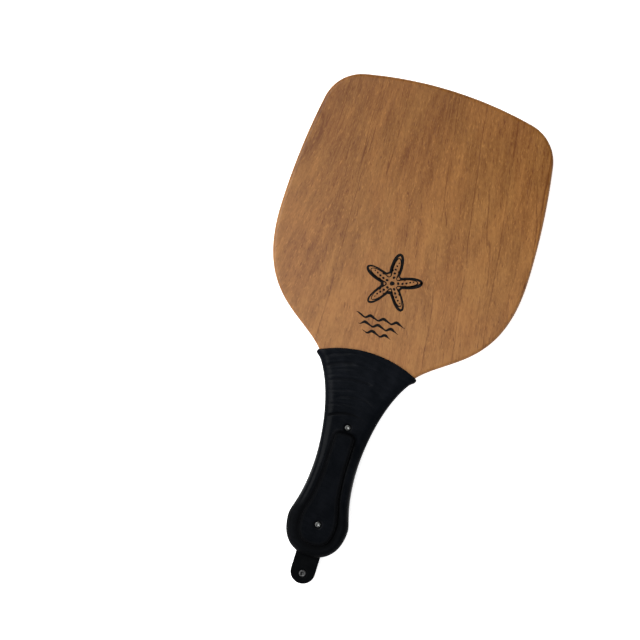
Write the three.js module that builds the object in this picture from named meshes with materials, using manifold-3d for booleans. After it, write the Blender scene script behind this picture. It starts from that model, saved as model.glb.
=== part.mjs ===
// Frescobol racket: a plywood blade whose tang carries a glued wooden scale on each face, under one stretched
// rubber sleeve. Two rivets hold the sleeve, and a rubber tab clamped in the butt ends in a rivet of its own.
// Millimetres. The racket lies face up: +Z is its front, +Y points to the top of the head, +X is its right.
// While it is built, heights run along Y from the butt of the grip, and Z is counted from the middle of the sheet.
import * as THREE from 'three';
import { mergeVertices } from 'three/addons/utils/BufferGeometryUtils.js';
import Module from 'manifold-3d';

const wasm = await Module();
wasm.setup();

// Sheet outline: head, neck and tang in one piece of plywood
const headTop = 415.3;
const headWidth = 221;
const widestHeight = 279.3;
const crownRadius = 348;
const shoulderRadius = 35.5;
const flankRadius = 578;
const throatHalfWidth = 45.3;
const throatHeight = 174;
const waistHalfWidth = 16.6;
const waistHeight = 83;
const bulbHalfWidth = 24.6;
const bulbHeight = 30;

// The outline leaves the throat at this angle to the racket's axis, and its curves reach these shares of the
// height between their ends before they turn
const throatAngle = THREE.MathUtils.degToRad(45.4);
const cheekPullShares = [0.71, 0.315];
const neckPullShares = [0.367, 0.208];
const bulbPullShares = [0.63, 0.1];
const buttPullShares = [0.444, 0.8];

// Plies, from the faces to the core, and the rounding that runs round the edge of the whole sheet
const veneerThickness = 1.5;
const crossbandThickness = 1.6;
const coreThickness = 2.8;
const sheetEdgeRadius = 3;

// Scales: spoon-shaped cheeks glued to both faces of the tang
const scaleThickness = 6;
const scaleEdgeRadius = 1.2;
const scaleTop = 108.2;
const scaleBottom = 12.4;
const scaleBulbHalfWidth = 14;
const scaleStemHalfWidth = 7.1;
const scaleStemHeight = 86;
const scaleCornerRadius = 3.6;
const scalePullShares = [0.22, 0.7];
const scaleButtPullShares = [0.85, 0.5];

// Rubber sleeve: its mouth is an arc, and fine folds follow it down to the scales
const rubberThickness = 1.7;
const mouthHeight = 181.4;
const mouthRadius = 99;
const foldCount = 14;
const foldPitch = 4.4;
const foldDepth = 0.5;

// Grip rivets: round heads sunk in a shallow seat of the rubber on both faces
const gripRivetHeadRadius = 2.35;
const gripRivetHeadHeight = 1.1;
const gripRivetShankRadius = 1.2;
const gripRivetSeatDepth = 1.2;
const gripRivetSeatFlare = 0.9;
const upperRivetAboveScale = 6.3;
const lowerRivetBelowBulb = 1;

// Tab: a flat rubber tongue that fills a slot of the core, where the lower rivet pins it
const tabReach = 24.8;
const tabPastRivet = 9;
const tabWidth = 21.4;
const tabEdgeRadius = 0.5;
const tabRivetFromEnd = 9;
const tabRivetHeadRadius = 3.1;
const tabRivetRimHeight = 1;
const tabRivetPostRadius = 1.6;
const tabRivetBoreRadius = 1.1;
const tabRivetBoreDepth = 2.2;
const tabRivetCapHeight = 1.6;
const tabRivetCapSocketDepth = 0.8;

// Clearance between pieces that fit into or over each other, and how far a cut runs past what it cuts
const fit = 0.3;
const overrun = 1;

// Steps along each curve and round each revolved piece
const crownSteps = 7;
const shoulderSteps = 8;
const flankSteps = 5;
const cheekSteps = 13;
const neckSteps = 13;
const bulbSteps = 9;
const buttSteps = 10;
const cornerSteps = 4;
const edgeSteps = 3;
const turnSteps = 20;
const domeSteps = 4;
const rimSteps = 6;
const tabEndSteps = 12;
const tabEdgeSteps = 2;
const stepsPerFold = 3;
const gripStations = 15;
const buttStations = 7;
const acrossShares = [0, 0.4, 0.68, 0.82, 0.91, 0.97, 1];
const halvings = 24;
const leastStepShare = 0.02;

// Worked out from the sizes above
const cover = rubberThickness + fit;
const sheetHalf = coreThickness / 2 + crossbandThickness + veneerThickness;
const skinHalf = sheetHalf + cover;
const scaleHalf = sheetHalf + scaleThickness;
const gripHalf = scaleHalf + cover;
const foldsEnd = mouthHeight - foldCount * foldPitch;
const upperRivetHeight = scaleTop + upperRivetAboveScale;
const lowerRivetHeight = bulbHeight - lowerRivetBelowBulb;
const tabThickness = coreThickness - 2 * fit;
const tabRoot = lowerRivetHeight + tabPastRivet;
const tabRivetHeight = tabRivetFromEnd - tabReach;

// Finishes
const veneerFinish = { color: 0xa27350, roughness: 0.5, metalness: 0 };
const crossbandFinish = { color: 0xb98a63, roughness: 0.7, metalness: 0 };
const coreFinish = { color: 0xa87c58, roughness: 0.7, metalness: 0 };
const scaleFinish = { color: 0x9a6c49, roughness: 0.7, metalness: 0 };
const rubberFinish = { color: 0x17181b, roughness: 0.6, metalness: 0 };
const steelFinish = { color: 0xb9bbbd, roughness: 0.35, metalness: 1 };

// Points and outlines

const point = (x, y) => new THREE.Vector2(x, y);

// Joins runs of [curve, steps] end to end.
function sampled(runs) {
  const points = [runs[0][0].getPoint(0)];
  for (const [curve, steps] of runs) {
    points.push(...curve.getPoints(steps).slice(1));
  }
  return points;
}

// A closed outline, anticlockwise seen from the front, from its right half that runs up from the axis to the axis.
function mirrored(half) {
  const left = half.slice(1, -1).reverse();
  return [...half, ...left.map(({ x, y }) => point(-x, y))];
}

// The crossing of two circles that lies furthest to the upper right.
function circlesMeet(first, firstRadius, second, secondRadius) {
  const between = second.clone().sub(first);
  const apart = between.length();
  const along = (firstRadius ** 2 - secondRadius ** 2 + apart ** 2) / (2 * apart);
  const beside = Math.sqrt(firstRadius ** 2 - along ** 2);
  const way = between.clone().normalize();
  const across = point(-way.y, way.x).multiplyScalar(beside);
  const foot = first.clone().addScaledVector(way, along);
  const crossings = [foot.clone().add(across), foot.clone().sub(across)];
  return crossings.reduce((a, b) => (a.x + a.y > b.x + b.y ? a : b));
}

// A curve that runs up from one upright tangent to another, each pulled by its share of the height.
function upright(start, end, [startShare, endShare]) {
  const rise = end.y - start.y;
  const leave = point(start.x, start.y + startShare * rise);
  const arrive = point(end.x, end.y - endShare * rise);
  return new THREE.CubicBezierCurve(start, leave, arrive, end);
}

// A round end: it leaves the axis level and reaches its widest point upright.
function roundEnd(bottom, widest, [widestShare, bottomShare]) {
  const leave = point(bottomShare * widest.x, bottom.y);
  const arrive = point(widest.x, widest.y - widestShare * (widest.y - bottom.y));
  return new THREE.CubicBezierCurve(bottom, leave, arrive, widest);
}

const arc = (centre, radius, from, to) => (
  new THREE.EllipseCurve(centre.x, centre.y, radius, radius, from, to, false)
);

function sheetOutline() {
  const butt = point(0, cover);
  const bulb = point(bulbHalfWidth, bulbHeight);
  const waist = point(waistHalfWidth, waistHeight);
  const throat = point(throatHalfWidth, throatHeight);
  const widest = point(headWidth / 2, widestHeight);
  const throatWay = point(Math.sin(throatAngle), Math.cos(throatAngle));

  const neckRise = throatHeight - waistHeight;
  const cheekRise = widestHeight - throatHeight;
  const neck = new THREE.CubicBezierCurve(
    waist,
    point(waist.x, waist.y + neckPullShares[1] * neckRise),
    throat.clone().addScaledVector(throatWay, -neckPullShares[0] * neckRise),
    throat,
  );
  const cheek = new THREE.CubicBezierCurve(
    throat,
    throat.clone().addScaledVector(throatWay, cheekPullShares[1] * cheekRise),
    point(widest.x, widest.y - cheekPullShares[0] * cheekRise),
    widest,
  );

  const crownCentre = point(0, headTop - crownRadius);
  const flankCentre = point(widest.x - flankRadius, widestHeight);
  const shoulderCentre = circlesMeet(
    crownCentre, crownRadius - shoulderRadius, flankCentre, flankRadius - shoulderRadius,
  );
  const flankEnd = shoulderCentre.clone().sub(flankCentre).angle();
  const shoulderEnd = shoulderCentre.clone().sub(crownCentre).angle();

  return mirrored(sampled([
    [roundEnd(butt, bulb, buttPullShares), buttSteps],
    [upright(bulb, waist, [bulbPullShares[1], bulbPullShares[0]]), bulbSteps],
    [neck, neckSteps],
    [cheek, cheekSteps],
    [arc(flankCentre, flankRadius, 0, flankEnd), flankSteps],
    [arc(shoulderCentre, shoulderRadius, flankEnd, shoulderEnd), shoulderSteps],
    [arc(crownCentre, crownRadius, shoulderEnd, Math.PI / 2), crownSteps],
  ]));
}

function scaleOutline() {
  const bottom = point(0, scaleBottom);
  const bulb = point(scaleBulbHalfWidth, bulbHeight);
  const stem = point(scaleStemHalfWidth, scaleStemHeight);
  const corner = point(scaleStemHalfWidth - scaleCornerRadius, scaleTop - scaleCornerRadius);
  const top = point(0, scaleTop);
  return mirrored(sampled([
    [roundEnd(bottom, bulb, scaleButtPullShares), buttSteps],
    [upright(bulb, stem, scalePullShares), bulbSteps],
    [new THREE.LineCurve(stem, point(stem.x, corner.y)), 1],
    [arc(corner, scaleCornerRadius, 0, Math.PI / 2), cornerSteps],
    [new THREE.LineCurve(point(corner.x, scaleTop), top), 1],
  ]));
}

function tabOutline(grown) {
  const half = tabWidth / 2 + grown;
  const shape = new THREE.Shape();
  shape.absarc(0, tabWidth / 2 - tabReach, half, Math.PI, 2 * Math.PI, false);
  shape.lineTo(half, tabRoot + grown);
  shape.lineTo(-half, tabRoot + grown);
  return shape;
}

// The outline moved outwards by a distance, inwards if it is negative.
function offset(outline, distance) {
  return outline.map((here, i) => {
    const before = outline[(i + outline.length - 1) % outline.length];
    const after = outline[(i + 1) % outline.length];
    const into = here.clone().sub(before).normalize();
    const out = after.clone().sub(here).normalize();
    const normal = point(into.y + out.y, -into.x - out.x).normalize();
    const spread = normal.x * out.y - normal.y * out.x;
    return here.clone().addScaledVector(normal, distance / spread);
  });
}

// How deep a point lies inside an outline: its distance to the nearest edge.
function depthInside(outline, x, y) {
  let nearest = Infinity;
  outline.forEach((start, i) => {
    const end = outline[(i + 1) % outline.length];
    const alongX = end.x - start.x;
    const alongY = end.y - start.y;
    const share = ((x - start.x) * alongX + (y - start.y) * alongY) / (alongX ** 2 + alongY ** 2);
    const clamped = THREE.MathUtils.clamp(share, 0, 1);
    nearest = Math.min(nearest, Math.hypot(x - start.x - clamped * alongX, y - start.y - clamped * alongY));
  });
  return nearest;
}

// Half the outline's width at a height of its right side.
function halfWidthAt(outline, height) {
  const side = outline.slice(0, outline.length / 2 + 1);
  const above = side.findIndex(({ y }) => y > height);
  const low = side[above - 1];
  const high = side[above];
  return THREE.MathUtils.mapLinear(height, low.y, high.y, low.x, high.x);
}

// Solids

function meshOf(positions, index) {
  const geometry = new THREE.BufferGeometry();
  geometry.setAttribute('position', new THREE.Float32BufferAttribute(positions, 3));
  geometry.setIndex(index);
  return geometry;
}

// Stacks rings of equally many points from the rear to the front and closes both ends.
function loft(rings) {
  const count = rings[0].length;
  const index = [];
  for (let level = 1; level < rings.length; level += 1) {
    for (let i = 0; i < count; i += 1) {
      const rear = (level - 1) * count;
      const front = level * count;
      const next = (i + 1) % count;
      index.push(rear + i, rear + next, front + next, rear + i, front + next, front + i);
    }
  }
  const ends = [rings[0], rings[rings.length - 1]];
  const [rearFaces, frontFaces] = ends.map((ring) => THREE.ShapeUtils.triangulateShape(ring, []));
  const last = (rings.length - 1) * count;
  rearFaces.forEach(([a, b, c]) => index.push(a, c, b));
  frontFaces.forEach(([a, b, c]) => index.push(last + a, last + b, last + c));
  return meshOf(rings.flat().flatMap(({ x, y, z }) => [x, y, z]), index);
}

// The layer from low to high of a plate that reaches half to each side of the middle, its edge rounded all round.
function layer(outline, half, edgeRadius, low, high) {
  const heights = [low, high];
  for (let step = 0; step <= edgeSteps; step += 1) {
    const z = half - edgeRadius + edgeRadius * Math.sin((step / edgeSteps) * (Math.PI / 2));
    heights.push(z, -z);
  }
  const least = edgeRadius * leastStepShare;
  const kept = heights.filter((z) => z === low || z === high || (z > low + least && z < high - least));
  const levels = [...new Set(kept)].sort((a, b) => a - b);
  return loft(levels.map((z) => {
    const above = Math.max(0, Math.abs(z) - (half - edgeRadius));
    const inset = edgeRadius - Math.sqrt(Math.max(0, edgeRadius ** 2 - above ** 2));
    return offset(outline, -inset).map(({ x, y }) => new THREE.Vector3(x, y, z));
  }));
}

// A solid turned about an upright axis at a height of the racket, from [radius, z] pairs that start and end on it.
function turned(profile, height) {
  const geometry = new THREE.LatheGeometry(profile.map(([radius, z]) => point(radius, z)), turnSteps);
  geometry.rotateX(Math.PI / 2);
  geometry.translate(0, height, 0);
  return geometry;
}

const cylinder = (radius, low, high, height) => (
  turned([[0, low], [radius, low], [radius, high], [0, high]], height)
);

// The upper half of a round head of a rivet, from its foot's edge to the axis.
function dome(radius, foot, rise) {
  const points = [];
  for (let step = 0; step <= domeSteps; step += 1) {
    const angle = (step / domeSteps) * (Math.PI / 2);
    points.push([step === domeSteps ? 0 : radius * Math.cos(angle), foot + rise * Math.sin(angle)]);
  }
  return points;
}

// Cuts and joins

// A geometry closed for cutting: corners that share a place become one, and faces that shrank to a line go.
function closed(geometry) {
  const bare = geometry.clone();
  bare.deleteAttribute('normal');
  bare.deleteAttribute('uv');
  const merged = mergeVertices(bare);
  const corners = [...merged.getIndex().array];
  const faces = [];
  for (let i = 0; i < corners.length; i += 3) {
    const face = corners.slice(i, i + 3);
    if (new Set(face).size === face.length) {
      faces.push(...face);
    }
  }
  return new wasm.Manifold(new wasm.Mesh({
    numProp: 3,
    vertProperties: new Float32Array(merged.getAttribute('position').array),
    triVerts: new Uint32Array(faces),
  }));
}

// A geometry with others joined to it and others cut from it.
function shaped(base, { joins = [], cuts = [] }) {
  let body = closed(base);
  joins.forEach((other) => {
    body = body.add(closed(other));
  });
  cuts.forEach((other) => {
    body = body.subtract(closed(other));
  });
  const { vertProperties, triVerts } = body.getMesh();
  return meshOf([...vertProperties], [...triVerts]);
}

// Outlines that several pieces share
const sheet = sheetOutline();
const scale = scaleOutline();
const skin = offset(sheet, cover);
const gripRivetHole = (height) => (
  cylinder(gripRivetShankRadius + fit, -gripHalf - overrun, gripHalf + overrun, height)
);
const gripRivetHoles = [upperRivetHeight, lowerRivetHeight].map(gripRivetHole);

// The room that the tab takes up, as a cutter of some thickness.
function tabRoom(thickness) {
  const geometry = new THREE.ExtrudeGeometry(tabOutline(fit), {
    depth: thickness, bevelEnabled: false, curveSegments: tabEndSteps,
  });
  return geometry.translate(0, 0, -thickness / 2);
}

// Plywood sheet

const ply = (low, high, cuts) => (
  shaped(layer(sheet, sheetHalf, sheetEdgeRadius, low, high), { cuts: [...gripRivetHoles, ...cuts] })
);

// Scales

const scaleBlock = (low, high) => (
  shaped(layer(scale, scaleHalf, scaleEdgeRadius, low, high), { cuts: [gripRivetHoles[1]] })
);

// Rubber sleeve

// How far the arc of the mouth has dropped at a distance from the axis.
const mouthDrop = (x) => mouthRadius - Math.sqrt(Math.max(0, mouthRadius ** 2 - x ** 2));

// The skin's half width where a row that bends by a share of the mouth's arc meets its edge.
function rowHalfWidth(height, bend) {
  let low = height - bend * mouthRadius;
  let high = height;
  for (let halving = 0; halving < halvings; halving += 1) {
    const middle = (low + high) / 2;
    if (height - bend * mouthDrop(halfWidthAt(skin, middle)) > middle) {
      low = middle;
    } else {
      high = middle;
    }
  }
  return halfWidthAt(skin, low);
}

// Heights on the axis of the cross rows of the skin, from the mouth down to the last one above the butt.
function rowHeights() {
  const heights = [];
  const foldRows = foldCount * stepsPerFold;
  for (let row = 0; row <= foldRows; row += 1) {
    heights.push(THREE.MathUtils.lerp(mouthHeight, foldsEnd, row / foldRows));
  }
  for (let row = 1; row <= gripStations; row += 1) {
    heights.push(THREE.MathUtils.lerp(foldsEnd, bulbHeight, row / gripStations));
  }
  for (let row = 1; row < buttStations; row += 1) {
    heights.push(bulbHeight * (1 - Math.sin((row / buttStations) * (Math.PI / 2))));
  }
  return heights;
}

// One cross row of the skin's front, left to right. Rows bend like the mouth and straighten towards the scales.
function skinRow(height) {
  const bend = Math.max(0, (height - foldsEnd) / (mouthHeight - foldsEnd));
  const halfWidth = rowHalfWidth(height, bend);
  const edgeRadius = sheetEdgeRadius + cover;
  const fold = bend > 0 ? (1 - Math.cos((2 * Math.PI * (mouthHeight - height)) / foldPitch)) / 2 : 0;
  const shares = [...acrossShares.slice(1).reverse().map((share) => -share), ...acrossShares];
  return shares.map((share) => {
    const x = share * halfWidth;
    const y = height - bend * mouthDrop(x);
    const depth = Math.min(edgeRadius, depthInside(skin, x, y));
    const edge = Math.sqrt(edgeRadius ** 2 - (edgeRadius - depth) ** 2);
    const z = skinHalf - edgeRadius + edge - foldDepth * fold * (depth / edgeRadius);
    return new THREE.Vector3(x, y, z);
  });
}

// The rubber over the tang and the throat as a full solid: two faces that a straight rim joins.
function skinBody() {
  const rows = rowHeights().map(skinRow);
  const across = rows[0].length;
  const last = rows.length - 1;
  const front = rows.flat();
  const rimHeight = skinHalf - sheetEdgeRadius - cover;
  front.push(new THREE.Vector3(0, 0, rimHeight));
  const rear = front.map(({ x, y, z }) => new THREE.Vector3(x, y, -z));
  const butt = front.length - 1;
  const behind = front.length;
  const at = (row, column) => (row > last ? butt : row * across + column);

  const index = [];
  const face = (a, b, c) => index.push(a, b, c, a + behind, c + behind, b + behind);
  const rim = (from, to) => index.push(from, to, to + behind, from, to + behind, from + behind);
  for (let row = 0; row <= last; row += 1) {
    for (let column = 1; column < across; column += 1) {
      face(at(row + 1, column - 1), at(row, column), at(row, column - 1));
      if (row < last) {
        face(at(row + 1, column - 1), at(row + 1, column), at(row, column));
      }
    }
    rim(at(row + 1, 0), at(row, 0));
    rim(at(row, across - 1), at(row + 1, across - 1));
  }
  for (let column = 1; column < across; column += 1) {
    rim(at(0, column - 1), at(0, column));
  }
  return meshOf([...front, ...rear].flatMap(({ x, y, z }) => [x, y, z]), index);
}

// The shallow seat that a rivet's head pulls into the rubber, on both faces.
function rivetSeats(height, face) {
  const foot = face - gripRivetSeatDepth;
  const radius = gripRivetHeadRadius + fit;
  const top = face + overrun;
  const flare = gripRivetSeatFlare * (1 + overrun / gripRivetSeatDepth);
  return [
    turned([[0, foot], [radius, foot], [radius + flare, top], [0, top]], height),
    turned([[0, -top], [radius + flare, -top], [radius, -foot], [0, -foot]], height),
  ];
}

function sleeve() {
  const hump = offset(scale, cover);
  const humpRadius = scaleEdgeRadius + cover;
  const scaleRoom = offset(scale, fit);
  const roomRadius = scaleEdgeRadius + fit;
  const roomHalf = scaleHalf + fit;
  return shaped(skinBody(), {
    joins: [
      layer(hump, gripHalf, humpRadius, sheetHalf, gripHalf),
      layer(hump, gripHalf, humpRadius, -gripHalf, -sheetHalf),
    ],
    cuts: [
      layer(offset(sheet, fit), sheetHalf + fit, sheetEdgeRadius + fit, -sheetHalf - fit, sheetHalf + fit),
      layer(scaleRoom, roomHalf, roomRadius, -roomHalf, roomHalf),
      tabRoom(tabThickness + 2 * fit),
      ...gripRivetHoles,
      ...rivetSeats(upperRivetHeight, skinHalf),
      ...rivetSeats(lowerRivetHeight, gripHalf),
    ],
  });
}

// Rivets

function gripRivet(face) {
  const foot = face - gripRivetSeatDepth;
  const front = dome(gripRivetHeadRadius, foot, gripRivetHeadHeight);
  const rear = front.map(([radius, z]) => [radius, -z]).reverse();
  return turned([...rear, [gripRivetShankRadius, -foot], [gripRivetShankRadius, foot], ...front], 0);
}

// Tab, modelled from the butt and its rivet

function tab() {
  const geometry = new THREE.ExtrudeGeometry(tabOutline(0), {
    depth: tabThickness - 2 * tabEdgeRadius,
    bevelThickness: tabEdgeRadius,
    bevelSize: tabEdgeRadius,
    bevelOffset: -tabEdgeRadius,
    bevelSegments: tabEdgeSteps,
    curveSegments: tabEndSteps,
  });
  geometry.translate(0, 0, tabEdgeRadius - tabThickness / 2);
  const past = tabThickness / 2 + overrun;
  return shaped(geometry, {
    cuts: [gripRivetHoles[1], cylinder(tabRivetPostRadius + fit, -past, past, tabRivetHeight)],
  });
}

// The tab's rivet: a hollow post whose front end is rolled outwards into a dished rim.
function tabRivet() {
  const foot = tabThickness / 2;
  const middle = (tabRivetHeadRadius + tabRivetBoreRadius) / 2;
  const half = (tabRivetHeadRadius - tabRivetBoreRadius) / 2;
  const postEnd = fit - foot - tabRivetCapSocketDepth;
  const boreEnd = foot + tabRivetRimHeight - tabRivetBoreDepth;
  const rim = [];
  for (let step = 0; step <= rimSteps; step += 1) {
    const angle = (step / rimSteps) * Math.PI;
    rim.push([middle + half * Math.cos(angle), foot + tabRivetRimHeight * Math.sin(angle)]);
  }
  return turned([
    [0, postEnd], [tabRivetPostRadius, postEnd], [tabRivetPostRadius, foot],
    ...rim, [tabRivetBoreRadius, boreEnd], [0, boreEnd],
  ], 0);
}

// The domed cap on the tab's rear that takes the end of the post.
function tabRivetCap() {
  const foot = -tabThickness / 2;
  const socketRadius = tabRivetPostRadius + fit;
  const socketEnd = foot - tabRivetCapSocketDepth;
  const domed = dome(tabRivetHeadRadius, 0, tabRivetCapHeight).map(([radius, rise]) => [radius, foot - rise]);
  return turned([...domed.reverse(), [socketRadius, foot], [socketRadius, socketEnd], [0, socketEnd]], 0);
}

// Assembly

function named(name, geometry, finish, height = 0) {
  const mesh = new THREE.Mesh(geometry, new THREE.MeshStandardMaterial(finish));
  mesh.name = name;
  mesh.position.y = height;
  return mesh;
}

function group(...members) {
  const holder = new THREE.Group();
  holder.add(...members);
  return holder;
}

const coreHalf = coreThickness / 2;
const crossbandHalf = coreHalf + crossbandThickness;

const blade = group(
  named('front_veneer', ply(crossbandHalf, sheetHalf, []), veneerFinish),
  named('front_crossband', ply(coreHalf, crossbandHalf, []), crossbandFinish),
  named('core_ply', ply(-coreHalf, coreHalf, [tabRoom(coreThickness + 2 * overrun)]), coreFinish),
  named('rear_crossband', ply(-crossbandHalf, -coreHalf, []), crossbandFinish),
  named('rear_veneer', ply(-sheetHalf, -crossbandHalf, []), veneerFinish),
);

const grip = group(
  named('front_scale', scaleBlock(sheetHalf, scaleHalf), scaleFinish),
  named('rear_scale', scaleBlock(-scaleHalf, -sheetHalf), scaleFinish),
  named('grip_sleeve', sleeve(), rubberFinish),
  named('upper_grip_rivet', gripRivet(skinHalf), steelFinish, upperRivetHeight),
  named('lower_grip_rivet', gripRivet(gripHalf), steelFinish, lowerRivetHeight),
);

const tabGroup = group(
  named('hang_tab', tab(), rubberFinish),
  named('tab_rivet', tabRivet(), steelFinish, tabRivetHeight),
  named('tab_rivet_cap', tabRivetCap(), steelFinish, tabRivetHeight),
);

// The origin lies under the middle of the racket's length, level with the rear face of the grip.
const racket = group(blade, grip, tabGroup);
racket.position.set(0, (tabReach - headTop) / 2, gripHalf);

export default racket;
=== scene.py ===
import math

import bpy
import numpy as np
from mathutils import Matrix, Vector


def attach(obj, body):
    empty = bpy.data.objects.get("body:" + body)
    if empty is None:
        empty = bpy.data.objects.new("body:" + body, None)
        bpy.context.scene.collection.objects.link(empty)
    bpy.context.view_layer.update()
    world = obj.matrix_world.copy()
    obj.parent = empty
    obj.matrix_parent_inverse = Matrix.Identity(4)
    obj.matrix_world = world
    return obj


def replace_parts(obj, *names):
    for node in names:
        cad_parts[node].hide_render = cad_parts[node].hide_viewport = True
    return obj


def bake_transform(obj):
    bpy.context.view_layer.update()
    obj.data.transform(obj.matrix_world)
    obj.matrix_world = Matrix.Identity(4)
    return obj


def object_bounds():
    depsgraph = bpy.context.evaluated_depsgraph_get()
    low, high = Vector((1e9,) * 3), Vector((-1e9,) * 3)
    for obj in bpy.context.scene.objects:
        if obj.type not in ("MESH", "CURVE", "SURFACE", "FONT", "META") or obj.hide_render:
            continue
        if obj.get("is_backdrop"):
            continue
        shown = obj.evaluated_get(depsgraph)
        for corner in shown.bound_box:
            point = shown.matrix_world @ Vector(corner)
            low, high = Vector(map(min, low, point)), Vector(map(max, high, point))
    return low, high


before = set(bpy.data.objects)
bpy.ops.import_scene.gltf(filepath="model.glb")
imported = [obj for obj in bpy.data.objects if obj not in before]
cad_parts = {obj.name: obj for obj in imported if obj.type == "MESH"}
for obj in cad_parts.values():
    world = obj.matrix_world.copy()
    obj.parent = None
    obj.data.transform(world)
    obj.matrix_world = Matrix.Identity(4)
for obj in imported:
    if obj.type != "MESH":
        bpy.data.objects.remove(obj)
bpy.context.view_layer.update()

# Sizes of the part, in millimetres, as its source has them. Heights run from the butt, and z
# from the middle of the sheet.
MM = 0.001
HEAD_TOP, HEAD_WIDTH, WIDEST_HEIGHT = 415.3, 221.0, 279.3
CROWN_RADIUS, SHOULDER_RADIUS, FLANK_RADIUS = 348.0, 35.5, 578.0
THROAT_HALF_WIDTH, THROAT_HEIGHT, THROAT_ANGLE = 45.3, 174.0, math.radians(45.4)
WAIST_HALF_WIDTH, WAIST_HEIGHT = 16.6, 83.0
BULB_HALF_WIDTH, BULB_HEIGHT = 24.6, 30.0
CHEEK_PULLS, NECK_PULLS = (0.71, 0.315), (0.367, 0.208)
BULB_PULLS, BUTT_PULLS = (0.63, 0.1), (0.444, 0.8)

VENEER, CROSSBAND, CORE = 1.5, 1.6, 2.8
SHEET_EDGE = 3.0
SCALE_THICKNESS, SCALE_EDGE = 6.0, 1.2
SCALE_TOP, SCALE_BOTTOM = 108.2, 12.4
SCALE_BULB_HALF_WIDTH, SCALE_STEM_HALF_WIDTH, SCALE_STEM_HEIGHT = 14.0, 7.1, 86.0
SCALE_CORNER = 3.6
SCALE_PULLS, SCALE_BUTT_PULLS = (0.22, 0.7), (0.85, 0.5)

RUBBER, FIT = 1.7, 0.3
MOUTH_HEIGHT, MOUTH_RADIUS = 181.4, 99.0
FOLD_COUNT, FOLD_PITCH = 14, 4.4

TAB_REACH, TAB_WIDTH = 24.8, 21.4
TAB_RIVET_FROM_END = 9.0

COVER = RUBBER + FIT
SHEET_HALF = CORE / 2 + CROSSBAND + VENEER
SKIN_HALF = SHEET_HALF + COVER
SCALE_HALF = SHEET_HALF + SCALE_THICKNESS
GRIP_HALF = SCALE_HALF + COVER
SKIN_EDGE = SHEET_EDGE + COVER
FOLDS_END = MOUTH_HEIGHT - FOLD_COUNT * FOLD_PITCH
UPPER_RIVET = SCALE_TOP + 6.3
LOWER_RIVET = BULB_HEIGHT - 1
TAB_THICKNESS = CORE - 2 * FIT
TAB_ROOT = LOWER_RIVET + 9
TAB_RIVET = TAB_RIVET_FROM_END - TAB_REACH
PLACE = np.array([0.0, (TAB_REACH - HEAD_TOP) / 2, GRIP_HALF])


def to_row(points):
    return (np.asarray(points, float) + PLACE) * MM


# Outlines

def bezier(a, b, c, d, step=1.0):
    a, b, c, d = (np.asarray(p, float) for p in (a, b, c, d))
    length = sum(np.linalg.norm(q - p) for p, q in ((a, b), (b, c), (c, d)))
    u = np.linspace(0, 1, max(4, math.ceil(length / step)))[:, None]
    return (1 - u) ** 3 * a + 3 * (1 - u) ** 2 * u * b + 3 * (1 - u) * u ** 2 * c + u ** 3 * d


def heading(angle):
    return np.stack([np.cos(angle), np.sin(angle)], -1)


def arc(centre, radius, start, end, step=1.0):
    count = max(4, math.ceil(abs(end - start) * radius / step))
    angle = np.linspace(start, end, count)
    return np.asarray(centre) + radius * heading(angle)


def line(a, b, step=1.0):
    count = max(2, math.ceil(math.dist(a, b) / step))
    return np.linspace(a, b, count)


def joined(*runs):
    points = [runs[0]]
    for run in runs[1:]:
        points.append(run[1:])
    return np.vstack(points)


def mirrored(half):
    left = half[1:-1][::-1] * [-1, 1]
    return np.vstack([half, left])


def circles_meet(first, first_radius, second, second_radius):
    between = second - first
    apart = np.linalg.norm(between)
    along = (first_radius ** 2 - second_radius ** 2 + apart ** 2) / (2 * apart)
    beside = math.sqrt(first_radius ** 2 - along ** 2)
    way = between / apart
    across = np.array([-way[1], way[0]]) * beside
    foot = first + way * along
    return max((foot + across, foot - across), key=sum)


def upright(start, end, pulls):
    rise = end[1] - start[1]
    leave = (start[0], start[1] + pulls[0] * rise)
    arrive = (end[0], end[1] - pulls[1] * rise)
    return bezier(start, leave, arrive, end)


def round_end(bottom, widest, pulls):
    arrive = (widest[0], widest[1] - pulls[0] * (widest[1] - bottom[1]))
    return bezier(bottom, (pulls[1] * widest[0], bottom[1]), arrive, widest)


def sheet_outline():
    butt = np.array([0, COVER])
    bulb = np.array([BULB_HALF_WIDTH, BULB_HEIGHT])
    waist = np.array([WAIST_HALF_WIDTH, WAIST_HEIGHT])
    throat = np.array([THROAT_HALF_WIDTH, THROAT_HEIGHT])
    widest = np.array([HEAD_WIDTH / 2, WIDEST_HEIGHT])
    way = np.array([math.sin(THROAT_ANGLE), math.cos(THROAT_ANGLE)])
    neck_rise = THROAT_HEIGHT - WAIST_HEIGHT
    cheek_rise = WIDEST_HEIGHT - THROAT_HEIGHT
    neck_low = waist + [0, NECK_PULLS[1] * neck_rise]
    neck_high = throat - way * NECK_PULLS[0] * neck_rise
    cheek_low = throat + way * CHEEK_PULLS[1] * cheek_rise
    cheek_high = widest - [0, CHEEK_PULLS[0] * cheek_rise]
    crown = np.array([0, HEAD_TOP - CROWN_RADIUS])
    flank = np.array([widest[0] - FLANK_RADIUS, WIDEST_HEIGHT])
    crown_reach, flank_reach = CROWN_RADIUS - SHOULDER_RADIUS, FLANK_RADIUS - SHOULDER_RADIUS
    shoulder = circles_meet(crown, crown_reach, flank, flank_reach)
    flank_end = math.atan2(*(shoulder - flank)[::-1])
    shoulder_end = math.atan2(*(shoulder - crown)[::-1])
    return mirrored(joined(
        round_end(butt, bulb, BUTT_PULLS),
        upright(bulb, waist, BULB_PULLS[::-1]),
        bezier(waist, neck_low, neck_high, throat),
        bezier(throat, cheek_low, cheek_high, widest),
        arc(flank, FLANK_RADIUS, 0, flank_end),
        arc(shoulder, SHOULDER_RADIUS, flank_end, shoulder_end),
        arc(crown, CROWN_RADIUS, shoulder_end, math.pi / 2),
    ))


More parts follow.
